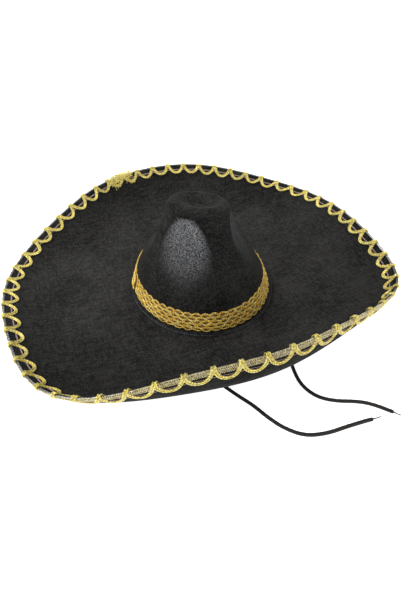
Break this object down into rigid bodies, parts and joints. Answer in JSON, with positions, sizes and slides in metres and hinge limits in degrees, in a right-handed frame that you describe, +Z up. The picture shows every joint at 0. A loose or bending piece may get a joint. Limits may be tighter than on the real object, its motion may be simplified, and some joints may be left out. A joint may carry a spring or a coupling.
{
  "type": "sombrero",
  "caption": "Wide-brimmed black felt sombrero with a pinched crown, upturned brim, gold braid round the edge, gold braid hat band and two loose chin cords.",
  "frame": {"origin": "centre of the head opening, at the level of the sweatband's underside, on which the hat rests", "axes": "-Y towards the front of the hat, +X and -X towards its sides, +Z up out of the crown"},
  "size_m": [0.4911, 0.534, 0.1207],
  "materials": {
    "black_felt": "matte pressed felt",
    "sweatband_tape": "matte",
    "edge_wire": "satin",
    "black_thread": "matte",
    "pale_thread": "satin",
    "gold_braid_pale": "metallic thread",
    "gold_braid_orange": "metallic thread",
    "black_cord": "satin",
    "cord_end": "satin",
    "black_tape": "matte"
  },
  "bodies": {
    "root": {"brim_felt": "black_felt", "crown_felt": "black_felt", "sweatband": "sweatband_tape", "brim_edge_wire": "edge_wire", "edge_whip_stitching": "black_thread", "rim_braid_edge_cord": "gold_braid_pale", "rim_braid_inner_scallops": "gold_braid_pale", "rim_braid_inner_threads": "pale_thread", "rim_braid_outer_scallops": "gold_braid_pale", "rim_braid_outer_chain_1": "gold_braid_pale", "rim_braid_outer_chain_2": "gold_braid_pale", "rim_braid_overlap": "gold_braid_pale", "hat_band_cord_1": "gold_braid_orange", "hat_band_cord_2": "gold_braid_orange", "hat_band_cord_3": "gold_braid_orange", "hat_band_cord_4": "gold_braid_orange", "hat_band_cord_5": "gold_braid_orange", "hat_band_overlap": "gold_braid_orange", "chin_cord_left": "black_cord", "chin_cord_left_tip": "cord_end", "chin_cord_left_tab": "black_tape", "chin_cord_right": "black_cord", "chin_cord_right_tip": "cord_end", "chin_cord_right_tab": "black_tape"}
  },
  "joints": []
}
